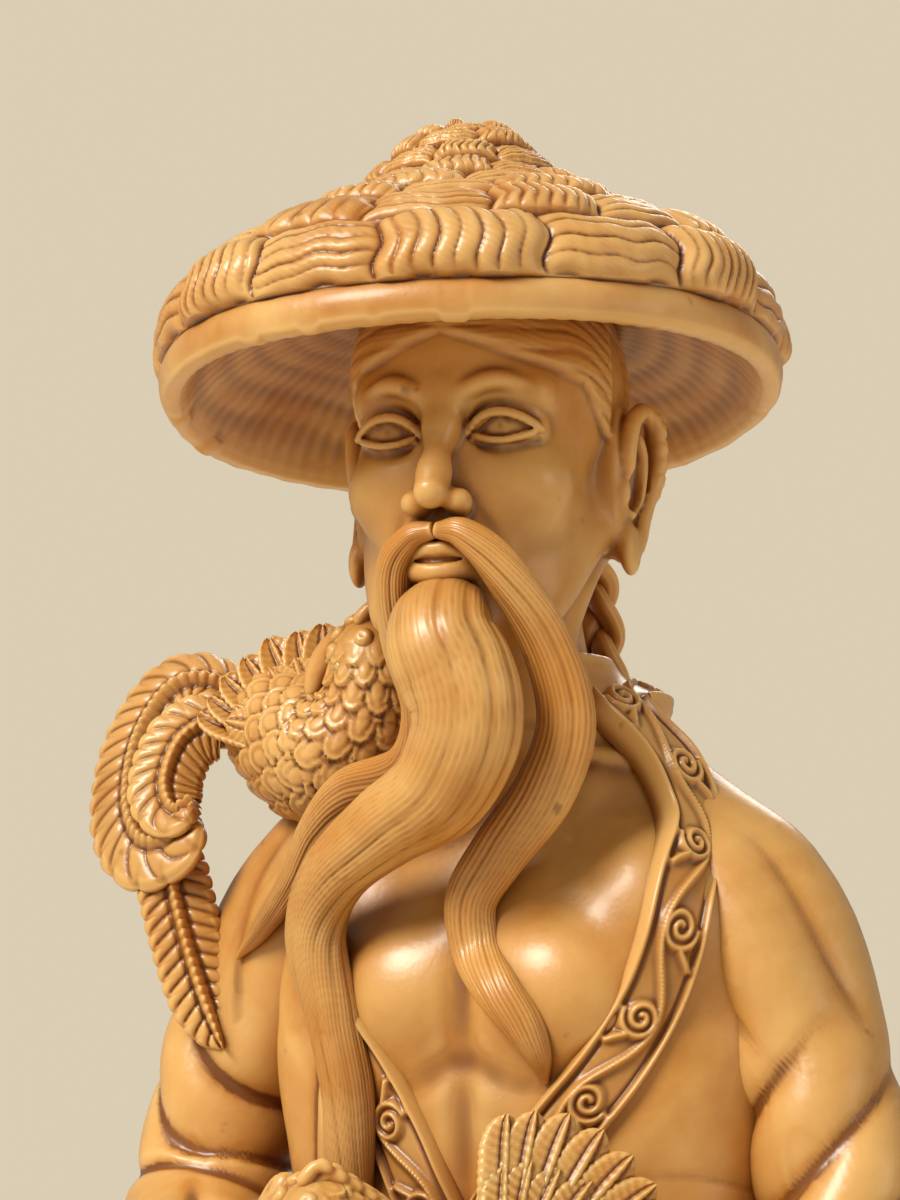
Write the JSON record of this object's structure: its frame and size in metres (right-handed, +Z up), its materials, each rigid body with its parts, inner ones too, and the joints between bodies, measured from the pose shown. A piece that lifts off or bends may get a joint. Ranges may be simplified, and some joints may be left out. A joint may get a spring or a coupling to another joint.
{
  "type": "okimono carving",
  "caption": "Standing bearded fisherman in a wide woven straw hat, with a bird on one shoulder and one in the hands, carved in joined sections on a rock and a turned wooden stand.",
  "frame": {"origin": "centre of the felt's underside, under the middle of the round stand", "axes": "+Z up; the figure faces -Y and its left side is +X"},
  "size_m": [0.1234, 0.112, 0.3662],
  "materials": {
    "ivory_resin": "cast resin in the look of old ivory: golden, waxy and glossy on the high parts, with brown stain left in the cuts",
    "dark_wood": "dark stained, satin",
    "felt": "pressed wool felt",
    "screw_brass": "plain",
    "dowel_wood": "bare beech"
  },
  "bodies": {
    "root": {"rock_base": "ivory_resin", "left_shoe": "ivory_resin", "right_shoe": "ivory_resin", "robe_skirt": "ivory_resin", "waist_sash": "ivory_resin", "sash_knot": "ivory_resin", "torso": "ivory_resin", "collar_band": "ivory_resin", "left_sleeve": "ivory_resin", "right_sleeve": "ivory_resin", "left_hand": "ivory_resin", "right_hand": "ivory_resin", "head": "ivory_resin", "hat": "ivory_resin", "beard": "ivory_resin", "left_moustache": "ivory_resin", "right_moustache": "ivory_resin", "queue": "ivory_resin", "shoulder_bird": "ivory_resin", "shoulder_bird_near_wing": "ivory_resin", "shoulder_bird_far_wing": "ivory_resin", "shoulder_bird_tail": "ivory_resin", "shoulder_bird_hanging_plume": "ivory_resin", "waist_bird": "ivory_resin", "waist_bird_wing": "ivory_resin", "waist_bird_tail": "ivory_resin", "turned_stand": "dark_wood", "felt_pad": "felt", "stand_screws": "screw_brass", "foot_dowels": "dowel_wood", "waist_dowels": "dowel_wood", "shoulder_dowels": "dowel_wood", "wrist_dowels": "dowel_wood", "neck_dowel": "dowel_wood", "hat_peg": "dowel_wood", "beard_peg": "dowel_wood", "shoulder_bird_pin": "dowel_wood", "waist_bird_pin": "dowel_wood"}
  },
  "joints": []
}
